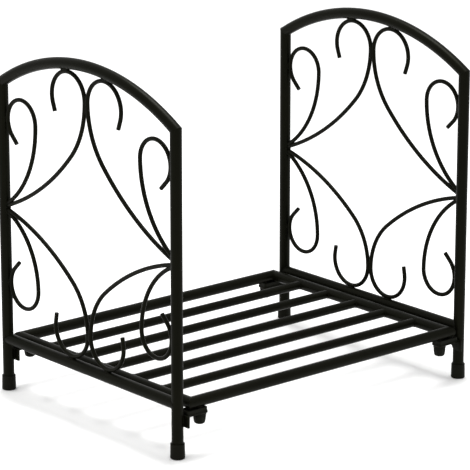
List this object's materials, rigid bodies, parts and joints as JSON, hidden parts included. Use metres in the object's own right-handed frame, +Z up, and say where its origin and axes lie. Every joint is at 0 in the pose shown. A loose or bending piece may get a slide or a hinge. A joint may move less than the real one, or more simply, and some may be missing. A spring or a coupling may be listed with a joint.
{
  "type": "firewood log rack",
  "caption": "Free-standing black tube rack for firewood: arched end panels with scroll work, joined by a flat slatted deck and thumb screws.",
  "frame": {"origin": "middle of the footprint, on the floor", "axes": "+Z up; X along the slats from the left end panel to the right one; -Y is the front"},
  "size_m": [0.54, 0.404, 0.506],
  "materials": {
    "powder_coat": "satin black powder coat",
    "black_plastic": "moulded, fine matt grain",
    "dark_zinc": "black zinc plating, satin"
  },
  "bodies": {
    "rack": {"post_front_left": "powder_coat", "foot_cap_front_left": "black_plastic", "corner_bracket_front_left": "powder_coat", "scroll_upper_inner_front_left": "powder_coat", "scroll_upper_outer_front_left": "powder_coat", "scroll_lower_inner_front_left": "powder_coat", "scroll_lower_outer_front_left": "powder_coat", "post_rear_left": "powder_coat", "foot_cap_rear_left": "black_plastic", "corner_bracket_rear_left": "powder_coat", "scroll_upper_inner_rear_left": "powder_coat", "scroll_upper_outer_rear_left": "powder_coat", "scroll_lower_inner_rear_left": "powder_coat", "scroll_lower_outer_rear_left": "powder_coat", "post_front_right": "powder_coat", "foot_cap_front_right": "black_plastic", "corner_bracket_front_right": "powder_coat", "scroll_upper_inner_front_right": "powder_coat", "scroll_upper_outer_front_right": "powder_coat", "scroll_lower_inner_front_right": "powder_coat", "scroll_lower_outer_front_right": "powder_coat", "post_rear_right": "powder_coat", "foot_cap_rear_right": "black_plastic", "corner_bracket_rear_right": "powder_coat", "scroll_upper_inner_rear_right": "powder_coat", "scroll_upper_outer_rear_right": "powder_coat", "scroll_lower_inner_rear_right": "powder_coat", "scroll_lower_outer_rear_right": "powder_coat", "arch_rail_left": "powder_coat", "lower_rail_left": "powder_coat", "deck_end_rail_left": "powder_coat", "arch_rail_right": "powder_coat", "lower_rail_right": "powder_coat", "deck_end_rail_right": "powder_coat", "deck_side_rail_front": "powder_coat", "deck_side_rail_rear": "powder_coat", "deck_slat_1": "powder_coat", "deck_slat_2": "powder_coat", "deck_slat_3": "powder_coat", "deck_slat_4": "powder_coat", "deck_slat_5": "powder_coat", "threaded_inserts": "dark_zinc", "spacers": "black_plastic"},
    "washer_front_left": {"washer_front_left": "dark_zinc"},
    "thumb_screw_front_left": {"thumb_knob_front_left": "black_plastic", "thumb_stud_front_left": "dark_zinc"},
    "washer_rear_left": {"washer_rear_left": "dark_zinc"},
    "thumb_screw_rear_left": {"thumb_knob_rear_left": "black_plastic", "thumb_stud_rear_left": "dark_zinc"},
    "washer_front_right": {"washer_front_right": "dark_zinc"},
    "thumb_screw_front_right": {"thumb_knob_front_right": "black_plastic", "thumb_stud_front_right": "dark_zinc"},
    "washer_rear_right": {"washer_rear_right": "dark_zinc"},
    "thumb_screw_rear_right": {"thumb_knob_rear_right": "black_plastic", "thumb_stud_rear_right": "dark_zinc"}
  },
  "joints": [
    {"name": "back_out_front_left", "type": "slide", "parent": "rack", "child": "washer_front_left", "axis": [0, 0, -1], "range_m": [0, 0.008]},
    {"name": "turn_front_left", "type": "hinge", "parent": "washer_front_left", "child": "thumb_screw_front_left", "pos_m": [-0.222, -0.188, 0.055], "axis": [0, 0, -1], "range_deg": [0, 2880]},
    {"name": "back_out_rear_left", "type": "slide", "parent": "rack", "child": "washer_rear_left", "axis": [0, 0, -1], "range_m": [0, 0.008]},
    {"name": "turn_rear_left", "type": "hinge", "parent": "washer_rear_left", "child": "thumb_screw_rear_left", "pos_m": [-0.222, 0.188, 0.055], "axis": [0, 0, -1], "range_deg": [0, 2880]},
    {"name": "back_out_front_right", "type": "slide", "parent": "rack", "child": "washer_front_right", "axis": [0, 0, -1], "range_m": [0, 0.008]},
    {"name": "turn_front_right", "type": "hinge", "parent": "washer_front_right", "child": "thumb_screw_front_right", "pos_m": [0.222, -0.188, 0.055], "axis": [0, 0, -1], "range_deg": [0, 2880]},
    {"name": "back_out_rear_right", "type": "slide", "parent": "rack", "child": "washer_rear_right", "axis": [0, 0, -1], "range_m": [0, 0.008]},
    {"name": "turn_rear_right", "type": "hinge", "parent": "washer_rear_right", "child": "thumb_screw_rear_right", "pos_m": [0.222, 0.188, 0.055], "axis": [0, 0, -1], "range_deg": [0, 2880]}
  ],
  "couplings": [
    {"joint": "back_out_front_left", "follows": "turn_front_left", "m_per_rad": 0.000159},
    {"joint": "back_out_rear_left", "follows": "turn_rear_left", "m_per_rad": 0.000159},
    {"joint": "back_out_front_right", "follows": "turn_front_right", "m_per_rad": 0.000159},
    {"joint": "back_out_rear_right", "follows": "turn_rear_right", "m_per_rad": 0.000159}
  ]
}
